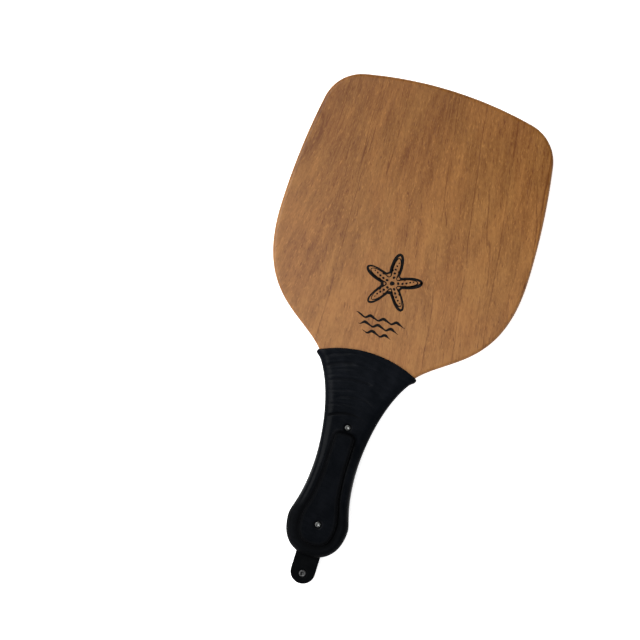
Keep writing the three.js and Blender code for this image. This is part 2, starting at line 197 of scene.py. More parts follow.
def scale_outline():
    corner = (SCALE_STEM_HALF_WIDTH - SCALE_CORNER, SCALE_TOP - SCALE_CORNER)
    bulb = (SCALE_BULB_HALF_WIDTH, BULB_HEIGHT)
    stem = (SCALE_STEM_HALF_WIDTH, SCALE_STEM_HEIGHT)
    return mirrored(joined(
        round_end((0, SCALE_BOTTOM), bulb, SCALE_BUTT_PULLS),
        upright(bulb, stem, SCALE_PULLS),
        line(stem, (stem[0], corner[1])),
        arc(corner, SCALE_CORNER, 0, math.pi / 2, step=0.5),
        line((corner[0], SCALE_TOP), (0, SCALE_TOP)),
    ))


def offset(outline, distance):
    before, after = np.roll(outline, 1, 0), np.roll(outline, -1, 0)
    into = outline - before
    out = after - outline
    into /= np.linalg.norm(into, axis=1)[:, None]
    out /= np.linalg.norm(out, axis=1)[:, None]
    normal = np.stack([into[:, 1] + out[:, 1], -into[:, 0] - out[:, 0]], 1)
    normal /= np.linalg.norm(normal, axis=1)[:, None]
    spread = normal[:, 0] * out[:, 1] - normal[:, 1] * out[:, 0]
    return outline + normal * (distance / spread)[:, None]


SHEET = sheet_outline()
SCALE = scale_outline()


# Meshes

def new_mesh(name, points, faces, material, smooth_angle=None):
    mesh = bpy.data.meshes.new(name)
    mesh.from_pydata(to_row(points).tolist(), [], faces)
    mesh.shade_smooth()
    if smooth_angle is not None:
        mesh.set_sharp_from_angle(angle=math.radians(smooth_angle))
    mesh.materials.append(material)
    piece = bpy.data.objects.new(name, mesh)
    bpy.context.scene.collection.objects.link(piece)
    return piece


def stacked(rings):
    """Points and faces of a solid that joins rings of equally many points, from rear to front."""
    count = len(rings[0])
    points = np.vstack(rings)
    faces = [tuple(range(count - 1, -1, -1))]
    for level in range(len(rings) - 1):
        low, high = level * count, (level + 1) * count
        for i in range(count):
            j = (i + 1) % count
            faces.append((low + i, low + j, high + j, high + i))
    last = (len(rings) - 1) * count
    faces.append(tuple(range(last, last + count)))
    return points, faces


# The glue lines between the plies, the levels of the rounded edge, and how far in from it each
# face's last ring lies.
GLUE_DEPTH, GLUE_HEIGHT = 0.07, 0.1
EDGE_LEVELS, FLAT_MARGIN = 13, 0.5


def ply(name, low, high, material):
    """One ply of the sheet, with a fine glue line on each side and its share of the round edge."""
    turn = SHEET_HALF - SHEET_EDGE
    rises = [SHEET_EDGE * math.sin(angle) for angle in np.linspace(0, math.pi / 2, EDGE_LEVELS)]
    rounding = [sign * (turn + rise) for sign in (-1, 1) for rise in rises]
    z = np.array([low, low + GLUE_HEIGHT, high - GLUE_HEIGHT, high, *rounding])
    z = np.unique(np.round(z[(z >= low - 1e-9) & (z <= high + 1e-9)], 6))
    rings = []
    for level in z:
        above = max(0.0, abs(level) - turn)
        inset = SHEET_EDGE - math.sqrt(max(0.0, SHEET_EDGE ** 2 - above ** 2))
        for face in (low, high):
            if abs(face) < SHEET_HALF and abs(level - face) < GLUE_HEIGHT / 2:
                inset += GLUE_DEPTH
        ring = offset(SHEET, -inset)
        rings.append(np.column_stack([ring, np.full(len(ring), level)]))
    flat = np.column_stack([offset(SHEET, -SHEET_EDGE - FLAT_MARGIN), np.zeros(len(SHEET))])
    if high == SHEET_HALF:
        rings.append(flat + [0, 0, high])
    if low == -SHEET_HALF:
        rings.insert(0, flat + [0, 0, low])
    points, faces = stacked(rings)
    return new_mesh(name, points, faces, material, smooth_angle=40)


def turned(name, profile, height, material, steps=48):
    """A closed solid turned about a line along z. Its (radius, z) pairs begin and end on it."""
    angle = np.arange(steps) / steps * 2 * math.pi
    points, faces, rings = [], [], []
    for radius, z in profile:
        if radius == 0:
            rings.append([len(points)])
            points.append((0, height, z))
        else:
            rings.append(list(range(len(points), len(points) + steps)))
            points.extend((radius * math.cos(a), height + radius * math.sin(a), z) for a in angle)
    for low, high in zip(rings, rings[1:]):
        for i in range(steps):
            j = (i + 1) % steps
            face = [low[i % len(low)], low[j % len(low)], high[j % len(high)], high[i % len(high)]]
            faces.append(tuple(dict.fromkeys(face)))
    return new_mesh(name, points, faces, material, smooth_angle=35)


# Solids carved from a field that is positive inside, in millimetres

def rounded(first, second, radius):
    """One depth from two, whose sides meet at a rounded corner."""
    a, b = radius - first, radius - second
    return radius - np.hypot(np.maximum(a, 0), np.maximum(b, 0)) - np.minimum(np.maximum(a, b), 0)


def plate(depth, z, half, radius):
    return rounded(depth, half - np.abs(z), radius)


def bell(distance, width):
    return np.exp(-(distance / width) ** 2)


def soft_min(a, b, reach):
    blend = np.maximum(reach - np.abs(a - b), 0) / reach
    return np.minimum(a, b) - blend ** 2 * reach / 4


def soft_max(a, b, reach):
    return -soft_min(-a, -b, reach)


class Depth:
    """How deep a point lies inside an outline, read from a fine table of exact distances."""

    def __init__(self, outline, low, high, step=0.5):
        self.low, self.step = np.array(low, float), step
        self.count = np.ceil((np.array(high) - low) / step).astype(int) + 1
        x = self.low[0] + np.arange(self.count[0]) * step
        y = self.low[1] + np.arange(self.count[1]) * step
        start, end = outline, np.roll(outline, -1, 0)
        way = end - start
        rows = []
        for here in x:
            p = np.stack([np.full(len(y), here), y], 1)
            to = p[:, None] - start
            share = np.clip((to * way).sum(2) / (way ** 2).sum(1), 0, 1)
            near = np.linalg.norm(to - share[..., None] * way, axis=2).min(1)
            crosses = (start[:, 1] > y[:, None]) != (end[:, 1] > y[:, None])
            rise = np.where(way[:, 1] == 0, 1, way[:, 1])
            where = start[:, 0] + (y[:, None] - start[:, 1]) * way[:, 0] / rise
            inside = (crosses & (here < where)).sum(1) % 2
            rows.append(np.where(inside == 1, near, -near))
        self.table = np.array(rows)

    def __call__(self, x, y):
        u = np.clip((x - self.low[0]) / self.step, 0, self.count[0] - 1.001)
        v = np.clip((y - self.low[1]) / self.step, 0, self.count[1] - 1.001)
        i, j = u.astype(int), v.astype(int)
        u, v = u - i, v - j
        t = self.table
        return ((1 - u) * ((1 - v) * t[i, j] + v * t[i, j + 1])
                + u * ((1 - v) * t[i + 1, j] + v * t[i + 1, j + 1]))


CORNERS = np.array([(i, j, k) for i in (0, 1) for j in (0, 1) for k in (0, 1)])
CELL_EDGES = [
    (a, b) for a in range(8) for b in range(a) if np.abs(CORNERS[a] - CORNERS[b]).sum() == 1
]
# The steps onto the exact surface: the reach of the slope's probe in millimetres, the least slope
# (squared) that is divided by, and the most that one step moves a point, as a share of a cell.
PROBE, LEAST_SLOPE, MOST_MOVE = 0.04, 0.05, 0.5


def carved(name, field, low, high, step, material, rounds=4):
    """The surface of a field as a mesh of even quads, each corner moved onto the exact surface."""
    axes = [np.arange(a, b + step, step) for a, b in zip(low, high)]
    x, y, z = np.meshgrid(*axes, indexing="ij", sparse=True)
    value = field(x, y, z)
    inside = value > 0
    nx, ny, nz = (size - 1 for size in inside.shape)
    count = sum(inside[i:nx + i, j:ny + j, k:nz + k].astype(np.int8) for i, j, k in CORNERS)
    cells = np.argwhere((count > 0) & (count < 8))
    number = np.full(count.shape, -1)
    number[tuple(cells.T)] = np.arange(len(cells))
    total, crossed = np.zeros((len(cells), 3)), np.zeros(len(cells))
    for a, b in CELL_EDGES:
        va = value[tuple((cells + CORNERS[a]).T)]
        vb = value[tuple((cells + CORNERS[b]).T)]
        cut = (va > 0) != (vb > 0)
        share = np.where(cut, va / np.where(cut, va - vb, 1), 0)
        total += (CORNERS[a] + share[:, None] * (CORNERS[b] - CORNERS[a])) * cut[:, None]
        crossed += cut
    points = np.array(low) + step * (cells + total / crossed[:, None])

    quads = []
    for axis in range(3):
        one, two = (axis + 1) % 3, (axis + 2) % 3
        ahead = np.roll(inside, -1, axis)
        change = inside != ahead
        edges = np.argwhere(change)
        edges = edges[(edges[:, axis] < inside.shape[axis] - 1)
                      & (edges[:, one] > 0) & (edges[:, one] < inside.shape[one] - 1)
                      & (edges[:, two] > 0) & (edges[:, two] < inside.shape[two] - 1)]
        corner = []
        for back_one, back_two in ((1, 1), (0, 1), (0, 0), (1, 0)):
            cell = edges.copy()
            cell[:, one] -= back_one
            cell[:, two] -= back_two
            corner.append(number[tuple(cell.T)])
        ring = np.stack(corner, 1)
        out = inside[tuple(edges.T)]
        ring[~out] = ring[~out][:, ::-1]
        quads.append(ring)
    quads = np.vstack(quads)

    for _ in range(rounds):
        gradient = np.zeros_like(points)
        for axis in range(3):
            shift = np.zeros(3)
            shift[axis] = PROBE
            ahead, behind = (points + shift).T, (points - shift).T
            gradient[:, axis] = (field(*ahead) - field(*behind)) / (2 * PROBE)
        slope = np.maximum((gradient ** 2).sum(1), LEAST_SLOPE)
        move = -field(*points.T)[:, None] * gradient / slope[:, None]
        length = np.linalg.norm(move, axis=1)[:, None]
        points = points + move * np.minimum(1, MOST_MOVE * step / np.maximum(length, 1e-9))
    return new_mesh(name, points, quads.tolist(), material)


# Node materials

class Graph:
    """A node material built by calls. A value may be a number, a tuple or another node's output."""

    def __init__(self, name):
        self.material = bpy.data.materials.new(name)
        self.material.use_nodes = True
        self.tree = self.material.node_tree
        self.shader = self.tree.nodes["Principled BSDF"]

    def put(self, socket, value):
        if isinstance(value, bpy.types.NodeSocket):
            self.tree.links.new(value, socket)
        else:
            socket.default_value = value

    def node(self, kind, inputs=(), **settings):
        made = self.tree.nodes.new("ShaderNode" + kind)
        for key, value in settings.items():
            setattr(made, key, value)
        for key, value in dict(inputs).items():
            self.put(made.inputs[key], value)
        return made

    def math(self, operation, *values):
        made = self.node("Math", operation=operation)
        for socket, value in zip(made.inputs, values):
            self.put(socket, value)
        return made.outputs[0]

    def place(self):
        return self.node("TexCoord").outputs["Object"]

    def stretched(self, vector, size, turn=0.0, shift=(0, 0, 0)):
        """The place in units of a feature's size in millimetres, across, along and through."""
        scale = tuple(s * MM for s in size)
        return self.node("Mapping", {
            "Vector": vector, "Rotation": (0, 0, turn), "Scale": scale, "Location": shift,
        }, vector_type="TEXTURE").outputs[0]

    def noise(self, vector, detail=2.0, roughness=0.5, output="Fac"):
        return self.node("TexNoise", {
            "Vector": vector, "Scale": 1.0, "Detail": detail, "Roughness": roughness,
        }).outputs[output]

    def coordinate(self, vector, axis):
        return self.node("SeparateXYZ", {0: vector}).outputs[axis]

    def blended(self, first, share, second):
        """The first with its share and the second with the rest."""
        rest = self.math("MULTIPLY", second, 1 - share)
        return self.math("ADD", self.math("MULTIPLY", first, share), rest)

    def multiplied(self, vector, factors, plus=(0, 0, 0)):
        made = self.node("VectorMath", {0: vector, 1: factors, 2: plus}, operation="MULTIPLY_ADD")
        return made.outputs[0]

    def spread(self, value, low, high, start=0.0, end=1.0, smooth=True):
        return self.node("MapRange", {
            "Value": value, "From Min": low, "From Max": high, "To Min": start, "To Max": end,
        }, interpolation_type="SMOOTHSTEP" if smooth else "LINEAR").outputs[0]

    def mixed(self, share, first, second):
        made = self.node("Mix", data_type="RGBA")
        self.put(made.inputs["Factor"], share)
        colours = [s for s in made.inputs if s.type == "RGBA"]
        self.put(colours[0], first)
        self.put(colours[1], second)
        return [s for s in made.outputs if s.type == "RGBA"][0]

    def scaled(self, colour, factor):
        made = self.node("VectorMath", operation="SCALE")
        self.put(made.inputs[0], colour)
        self.put(made.inputs["Scale"], factor)
        return made.outputs[0]

    def bump(self, height, distance, strength=1.0):
        made = self.node("Bump", {
            "Height": height, "Distance": distance * MM, "Strength": strength,
        })
        self.put(self.shader.inputs["Normal"], made.outputs[0])

    def surface(self, **values):
        for key, value in values.items():
            self.put(self.shader.inputs[key.replace("_", " ")], value)
        return self.material


def rgb(red, green, blue):
    """A linear colour from an sRGB one of 0 to 255."""
    def linear(value):
        value /= 255
        return value / 12.92 if value <= 0.04045 else ((value + 0.055) / 1.055) ** 2.4
    return (linear(red), linear(green), linear(blue), 1.0)


# The veneer's grain fans out: its x in metres and its lean, at the left and at the right, and the
# y that it turns about.
FAN_LEFT, FAN_RIGHT = (-0.095, -0.1), (0.005, 0.16)
FAN_HEIGHT = 0.095
# Dark veins of the veneer: where each lies across the fanned grain and half their width, in
# metres, and their depth.
VEINS = (0.0856, 0.0338, 0.058, -0.046)
VEIN_HALF_WIDTH, VEIN_DEPTH = 0.0007, 0.42
# The veneer's tone carries painted light. It gets paler from the head to the handle, with a whitish
# painted sheen towards the handle. On the head it gets paler from left to right, a painted shade on
# the left and painted light on the right.
PAINTED_LIGHT_FROM, PAINTED_LIGHT_TO, PAINTED_SHEEN_TINT = 0.19, -0.02, (0.006, 0.009, 0.015)
PAINTED_LIGHT_AT_GRIP, PAINTED_SHADE_AT_HEAD = 0.3, -0.14
PAINTED_SIDE_TILT, PAINTED_SIDE_REACH, PAINTED_SIDE_FROM, PAINTED_SIDE_TO = 0.09, 0.1, 0.04, 0.18
# Slow and quick bends of the grain: the size of a bend in millimetres, and how far it goes
# sideways, in metres.
BENDS = (((45, 110, 30), 0.009), ((9, 24, 9), 0.0022))
# Layers of the grain: a feature's size across, along and through the grain in millimetres, its
# turn in degrees, a shift, and the noise's detail and roughness.
GRAIN = {
    "cloud": ((42, 95, 40), 0, (0.06, 0.19, 0), 3, 0.5),
    "band": ((16, 130, 40), -12, (0, 0, 0), 2, 0.5),
    "mottle": ((5.5, 32, 8), -2, (0, 0, 0), 3, 0.6),
    "streak": ((2.2, 36, 8), 0, (0, 0, 0), 3, 0.6),
    "curl": ((1.7, 3.4, 4), 22, (1.7, 2.9, 0), 2, 0.5),
    "fibre": ((0.9, 5, 3), 0, (0, 0, 0), 4, 0.7),
    "ring": ((13, 260, 60), 1, (0.37, 0.21, 0), 1, 0.5),
    "pore": ((0.9, 6.5, 3), 3, (3.1, 0.7, 0), 1, 0.5),
    "fleck": ((0.9, 4.2, 3), -4, (0.4, 5.9, 0), 1, 0.5),
    "hue": ((24, 60, 20), 0, (0.11, 0.05, 0), 3, 0.6),
    "patch": ((9, 22, 20), 0, (0.77, 0.31, 0), 1, 0.5),
}
WEIGHTS = {"cloud": 0.8, "band": 0.8, "mottle": 0.95, "streak": 0.6, "curl": 0.4, "fibre": 1.05}
PORE_DEPTH, RING_DEPTH, FLECK_RISE = 0.4, 0.55, 0.45
RING_LINE = 0.012
WARM = (1.02, 0.985, 0.97)


def fanned(g, place):
    """The place with x slid along y, so that the grain leans apart on the left and the right."""
    (left, left_lean), (right, right_lean) = FAN_LEFT, FAN_RIGHT
    parts = g.node("SeparateXYZ", {0: place}).outputs
    lean = g.spread(parts["X"], left, right, left_lean, right_lean, smooth=False)
    slide = g.math("MULTIPLY", lean, g.math("SUBTRACT", parts["Y"], FAN_HEIGHT))
    return g.node("CombineXYZ", {
        "X": g.math("ADD", parts["X"], slide), "Y": parts["Y"], "Z": parts["Z"],
    }).outputs[0]


def veined(g, value, across, patch):
    """The tone with a few dark veins, each broken where the patches are dark."""
    for vein in VEINS:
        off = g.math("ABSOLUTE", g.math("SUBTRACT", across, vein))
        shown = g.spread(patch, 0.3, 0.55)
        dark = g.math("MULTIPLY", g.spread(off, 0.0, VEIN_HALF_WIDTH, 1.0, 0.0), shown)
        value = g.math("SUBTRACT", value, g.math("MULTIPLY", dark, VEIN_DEPTH))
    return value


def wood(name, dark, light, grain_turn=0.0, contrast=1.0, roughness=0.42, fan=False):
    """Varnished open-grained wood, its grain along the racket, turned by an angle or fanned out.
    Fanned, its tone also carries painted light and a painted sheen.
    """
    g = Graph(name)
    place = g.place()
    if fan:
        place = fanned(g, place)
    bent = place
    for size, reach in BENDS:
        drift = g.noise(g.stretched(place, size), 1.0, output="Color")
        bent = g.multiplied(drift, (reach, 0.0, 0.0), bent)
    layers = {}
    for layer, (size, turn, shift, detail, rough) in GRAIN.items():
        where = g.stretched(bent, size, grain_turn + math.radians(turn), shift)
        layers[layer] = g.noise(where, detail, rough)

    value = 0.5
    for layer, weight in WEIGHTS.items():
        off = g.math("SUBTRACT", layers[layer], 0.5)
        value = g.math("ADD", value, g.math("MULTIPLY", off, weight * contrast))
    pores = g.spread(layers["pore"], 0.38, 0.27)
    flecks = g.spread(layers["fleck"], 0.62, 0.72)
    off = g.math("ABSOLUTE", g.math("SUBTRACT", layers["ring"], 0.5))
    rings = g.spread(off, 0.0, RING_LINE, 1.0, 0.0)
    rings = g.math("MULTIPLY", rings, g.spread(layers["cloud"], 0.45, 0.6))
    value = g.math("SUBTRACT", value, g.math("MULTIPLY", pores, PORE_DEPTH * contrast))
    value = g.math("SUBTRACT", value, g.math("MULTIPLY", rings, RING_DEPTH * contrast))
    if fan:
        value = veined(g, value, g.coordinate(bent, "X"), layers["patch"])
        # Painted light: the tone rises towards the handle and falls at the top of the head.
        along = g.coordinate(place, "Y")
        fall = g.spread(along, PAINTED_LIGHT_TO, PAINTED_LIGHT_FROM, PAINTED_LIGHT_AT_GRIP, PAINTED_SHADE_AT_HEAD, smooth=False)
        value = g.math("ADD", value, fall)
        # Painted shade on the left of the head and painted light on its right.
        across = g.coordinate(place, "X")
        painted_side_light = g.spread(across, -PAINTED_SIDE_REACH, PAINTED_SIDE_REACH, -PAINTED_SIDE_TILT, PAINTED_SIDE_TILT, smooth=False)
        painted_side_light = g.math("MULTIPLY", painted_side_light, g.spread(along, PAINTED_SIDE_FROM, PAINTED_SIDE_TO))
        value = g.math("ADD", value, painted_side_light)
    value = g.math("ADD", value, g.math("MULTIPLY", flecks, FLECK_RISE * contrast))

    tone = g.mixed(value, dark, light)
    warm = g.multiplied(tone, WARM)
    colour = g.mixed(g.spread(layers["hue"], 0.4, 0.62), tone, warm)
    if fan:
        # A whitish painted sheen, strongest towards the handle.
        painted_sheen_share = g.spread(along, PAINTED_LIGHT_TO, PAINTED_LIGHT_FROM, 1.0, 0.0)
        colour = g.multiplied(painted_sheen_share, PAINTED_SHEEN_TINT, colour)
    relief = g.math("MULTIPLY", layers["fibre"], 0.5)
    g.bump(g.math("SUBTRACT", relief, g.math("MULTIPLY", pores, 0.8)), 0.06, 0.5)
    gloss = g.math("ADD", g.math("MULTIPLY", layers["mottle"], 0.12), roughness - 0.06)
    return g.surface(Base_Color=colour, Roughness=gloss, Specular_IOR_Level=0.28)


# Rubber is paler towards the mouth, from one y to the other, in metres. The mesh of the sleeve
# carries painted shade, darkest in its hollows: there the rubber is darker and, past a share,
# duller.
RUBBER_PALING_FROM, RUBBER_PALING_TO, RUBBER_PALING_GAIN = -0.1, -0.035, 1.5
PAINTED_SHADE_ATTRIBUTE = "painted_shade"
PAINTED_SHADE_TONE, DULL_FROM, DULL_TO, DULL_GAIN = 0.38, 0.2, 0.6, 0.4
RUBBER_ROUGHNESS, ROUGHNESS_REACH = 0.17, 0.1


def rubber(name, dark, light, gloss):
    """Matte black rubber with a faint dusty bloom and hair-fine scuffs, darkened by the painted
    shade that its mesh may carry.
    """
    g = Graph(name)
    place = g.place()
    cloud = g.noise(g.stretched(place, (14, 22, 14)), 4, 0.6)
    scuff = g.noise(g.stretched(place, (9, 0.5, 5), math.radians(8)), 3, 0.6)
    grit = g.noise(g.stretched(place, (0.5, 0.5, 0.5)), 2, 0.6)
    smear = g.noise(g.stretched(place, (12, 2.6, 9), math.radians(-12)), 3, 0.6)
    tone = g.mixed(g.spread(g.blended(cloud, 0.6, smear), 0.38, 0.66), dark, light)
    tone = g.scaled(tone, g.math("ADD", 0.85, g.math("MULTIPLY", scuff, 0.3)))
    # The rubber gets paler towards the mouth.
    along = g.coordinate(place, "Y")
    tone = g.scaled(tone, g.spread(along, RUBBER_PALING_FROM, RUBBER_PALING_TO, 1.0, RUBBER_PALING_GAIN))
    # Painted shade from the sleeve's mesh: darker in its folds, crease, grooves and seats, and on
    # the flanks of the bulb.
    painted_shade_share = g.node("Attribute", attribute_name=PAINTED_SHADE_ATTRIBUTE).outputs["Fac"]
    tone = g.scaled(tone, g.spread(painted_shade_share, 0.0, 1.0, 1.0, PAINTED_SHADE_TONE))
    grain = g.math("MULTIPLY", g.math("ADD", cloud, grit), ROUGHNESS_REACH)
    rough = g.math("ADD", RUBBER_ROUGHNESS, grain)
    rough = g.math("ADD", rough, g.math("MULTIPLY", g.spread(painted_shade_share, DULL_FROM, DULL_TO), DULL_GAIN))
    g.bump(g.blended(scuff, 0.6, grit), 0.04, 0.4)
    return g.surface(Base_Color=tone, Roughness=rough, Specular_IOR_Level=gloss)


TARNISHED = 0.62


def steel(name, tone, dull):
    """Nickel-plated steel, uneven and a little tarnished."""
    g = Graph(name)
    place = g.place()
    tarnish = g.noise(g.stretched(place, (1.6, 1.6, 1.2)), 4, 0.6)
    grain = g.noise(g.stretched(place, (0.25, 0.25, 0.25)), 2)
    dim = (*(c * TARNISHED for c in tone[:3]), 1)
    colour = g.mixed(g.spread(tarnish, 0.35, 0.7), tone, dim)
    g.bump(g.blended(tarnish, 0.5, grain), 0.02, 0.35)
    gloss = g.spread(tarnish, 0.3, 0.7, dull - 0.06, dull + 0.12)
    return g.surface(Base_Color=colour, Roughness=gloss, Metallic=1.0)


def ink(name):
    """Dense screen-printing ink, thin over the pores."""
    g = Graph(name)
    place = g.place()
    thin = g.noise(g.stretched(place, (0.5, 3.5, 2)), 2)
    tone = g.mixed(g.spread(thin, 0.62, 0.76), (0.002, 0.002, 0.0022, 1), (0.016, 0.011, 0.008, 1))
    g.bump(thin, 0.03, 0.5)
    gloss = g.spread(thin, 0.3, 0.7, 0.5, 0.62)
    return g.surface(Base_Color=tone, Roughness=gloss, Specular_IOR_Level=0.08)


FACE = wood("veneer", rgb(95, 51, 2), rgb(149, 102, 48), contrast=0.9, fan=True)
CROSS = wood(
    "crossband", rgb(128, 86, 50), rgb(196, 152, 106),
    grain_turn=math.pi / 2, contrast=0.5, roughness=0.6,
)
CORE_WOOD = wood("core", rgb(102, 62, 32), rgb(170, 122, 80), contrast=0.5, roughness=0.6)
RUBBER_BLACK = rubber("rubber", (0.0019, 0.0024, 0.0033, 1), (0.0034, 0.004, 0.0054, 1), 0.03)
RUBBER_FLAT = rubber("tab rubber", (0.002, 0.0022, 0.0025, 1), (0.0029, 0.0032, 0.0035, 1), 0.012)
STEEL = steel("steel", (0.22, 0.225, 0.22, 1), 0.42)
DULL_STEEL = steel("dull steel", (0.09, 0.09, 0.09, 1), 0.42)
INK = ink("ink")

# Sheet

crossband_half = CORE / 2 + CROSSBAND
plies = [
    ("front_veneer", crossband_half, SHEET_HALF, FACE, "face_wood"),
    ("front_crossband", CORE / 2, crossband_half, CROSS, "cross_wood"),
    ("core_ply", -CORE / 2, CORE / 2, CORE_WOOD, "core_wood"),
    ("rear_crossband", -crossband_half, -CORE / 2, CROSS, "cross_wood"),
    ("rear_veneer", -SHEET_HALF, -crossband_half, FACE, "face_wood"),
]
for node, low, high, material, slot in plies:
    piece = ply("fine_" + node, low, high, material)
    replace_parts(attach(piece, "racket"), node)

for node in ("front_scale", "rear_scale"):
    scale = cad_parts[node]
    scale.data.materials.clear()
    scale.data.materials.append(CORE_WOOD)

# Print: a starfish over three waves, in dense black ink

INK_HEIGHT = 0.05
STAR_HEIGHT, ARMS = 243.0, 5
# The star's outlines as inset and width, an arm's spots as reach and radius, and its ticks as
# reach, angle from the arm and length, with their widths from end to end.
STAR_LINES = ((0, 2.1), (3.3, 0.9))
ARM_SPOTS = ((5.2, 1.15), (8.8, 1.05), (12.2, 0.95), (15.4, 0.8), (18.2, 0.6))
ARM_TICKS = ((6.6, 0.42, 1.6), (10.4, 0.26, 1.4))
TICK_WIDTHS, TICK_LEAN = (0.7, 1.0, 1.1, 0.9, 0.6), 0.06
HEART_RADIUS = 2.0
# The waves as height, half width and shift.
WAVES = ((210.5, 21.5, 0.0), (204.0, 17.5, 3.0), (197.6, 12.5, 6.2))
WAVE_LENGTH, WAVE_RISE, WAVE_WIDTH, WAVE_TAPER = 11.5, 1.25, 1.9, 5


def ribbon(path, widths):
    """The outline of a brush stroke along a path, with round ends."""
    path, widths = np.asarray(path, float), np.asarray(widths, float)
    way = np.gradient(path, axis=0)
    way /= np.linalg.norm(way, axis=1)[:, None]
    side = np.stack([-way[:, 1], way[:, 0]], 1) * widths[:, None] / 2
    turns = np.linspace(0, math.pi, 7)[1:-1, None]
    start = path[0] + side[0] * np.cos(turns) - way[0] * widths[0] / 2 * np.sin(turns)
    end = path[-1] - side[-1] * np.cos(turns) + way[-1] * widths[-1] / 2 * np.sin(turns)
    return np.vstack([path - side, end, (path + side)[::-1], start])


def spot(centre, radius, phase):
    """A dot that isn't quite round."""
    angle = np.linspace(0, 2 * math.pi, 19)[:-1]
    reach = radius * (1 + 0.1 * np.sin(2 * angle + phase) + 0.06 * np.sin(3 * angle + 2 * phase))
    return np.asarray(centre) + reach[:, None] * heading(angle)


def star_reach(angle):
    """How far the starfish reaches at an angle: five blunt arms, each a little different."""
    around = angle - math.pi / 2
    return (14.6 + 8.2 * np.cos(ARMS * around) + 2.2 * np.cos(2 * ARMS * around)
            + 0.5 * np.sin(around + 1) + 0.4 * np.sin(3 * around))


def star_strokes():
    strokes = []
    heart = np.array([0, STAR_HEIGHT])
    for inset, width in STAR_LINES:
        angle = np.linspace(0.3, 0.3 + 2 * math.pi, 181)
        path = heart + (star_reach(angle) - inset)[:, None] * heading(angle)
        swell = 1 + 0.28 * np.sin(4 * angle + 1) + 0.14 * np.sin(11 * angle)
        strokes.append(ribbon(path, width * swell))
    for arm in range(ARMS):
        lean = math.pi / 2 + arm * 2 * math.pi / ARMS
        for step, (reach, radius) in enumerate(ARM_SPOTS):
            bend = lean + 0.05 * math.sin(step + arm)
            strokes.append(spot(heart + reach * heading(bend), radius, arm + step))
        for side in (-1, 1):
            for reach, apart, length in ARM_TICKS:
                start = lean + side * apart
                a = heart + reach * heading(start)
                b = heart + (reach + length) * heading(start - side * TICK_LEAN)
                strokes.append(ribbon(np.linspace(a, b, len(TICK_WIDTHS)), TICK_WIDTHS))
    strokes.append(spot(heart, HEART_RADIUS, 0.7))
    return strokes


def wave_strokes():
    strokes = []
    for row, (height, half, shift) in enumerate(WAVES):
        x = np.linspace(-half, half, 90)
        turn = 2 * math.pi * (x + shift) / WAVE_LENGTH
        y = height + WAVE_RISE * np.sin(turn + 0.45 * np.sin(turn)) + 0.4 * np.sin(x / 9 + row)
        taper = np.clip((half - np.abs(x)) / WAVE_TAPER, 0.15, 1) ** 0.7
        widths = WAVE_WIDTH * taper * (1 + 0.3 * np.cos(turn - 1.2))
        strokes.append(ribbon(np.stack([x, y], 1), widths))
    return strokes


def prisms(name, outlines, low, high, material):
    points, faces = [], []
    for outline in outlines:
        start, count = len(points), len(outline)
        points.extend((x, y, low) for x, y in outline)
        points.extend((x, y, high) for x, y in outline)
        faces.append(tuple(range(start + count - 1, start - 1, -1)))
        faces.append(tuple(range(start + count, start + 2 * count)))
        for i in range(count):
            j = (i + 1) % count
            faces.append((start + i, start + j, start + count + j, start + count + i))
    return new_mesh(name, points, faces, material, smooth_angle=30)


strokes = star_strokes() + wave_strokes()
printed = prisms("print_ink", strokes, SHEET_HALF - INK_HEIGHT, SHEET_HALF + INK_HEIGHT, INK)
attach(printed, "racket")

# Sleeve

SKIN = offset(SHEET, COVER)
HUMP = offset(SCALE, COVER)
# The tables reach over the sleeve, and the skin's outline is cut above it, since the head has none.
TABLE_LOW, TABLE_HIGH, SKIN_CUT = (-60, -6), (60, 190), 215
skin_depth = Depth(SKIN[SKIN[:, 1] < SKIN_CUT], TABLE_LOW, TABLE_HIGH)
hump_depth = Depth(HUMP, TABLE_LOW, TABLE_HIGH)

# The mouth: a bead some way behind its edge, and the rounding of the edge and of its two ends.
MOUTH_CENTRE = MOUTH_HEIGHT - MOUTH_RADIUS
LIP_BEAD, LIP_HEIGHT, LIP_WIDTH = 1.1, 3.2, 3.2
LIP_EDGE, CORNER_RADIUS = 1.1, 2.4
# The sides are rounded over a width that grows with the height, and fuller beside the scales.
EDGE_LOW, EDGE_HIGH, EDGE_FROM, EDGE_TO = 5.8, 8.0, 75.0, 115.0
FLANK_RISE, FLANK_FROM, FLANK_TO = 2.4, 76.0, 104.0
# The raised strip over a scale: how far its wall leans in, up to which z, the rounding of its
# brow, and the groove and the fillet at its foot. Over its last CREST_REACH it drops, its wall
# stands up, its groove fills and its fillet grows.
WALL_LEAN, WALL_TOP, BROW_RADIUS = 0.6, 9.3, 1.4
GROOVE_DEPTH, GROOVE_OUT, GROOVE_WIDTH, FILLET = 0.25, 0.25, 0.6, 0.9
CREST_REACH, CREST_DROP, CREST_UPRIGHT, CREST_FILL, CREST_FILLET = 8, 0.5, 0.6, 0.1, 2.3
# The collar round the tab's root.
COLLAR_MARGIN, COLLAR_REACH, COLLAR_HALF, COLLAR_EDGE = 0.9, 1.4, 2.1, 1.4
COLLAR_FROM, COLLAR_TO, COLLAR_FILLET = 6, 12, 2.4
# The rivets' seats, and the rounding of the slit that the tab comes through.
SEAT_DEPTH, SEAT_RADIUS, SEAT_FLARE, SEAT_SLOPE = 1.0, 2.6, 0.8, 0.8
SEAT_FLOOR_EDGE, SEAT_BROW, SEAT_BORE = 0.4, 0.7, 1.5
SLIT_EDGE = 0.5
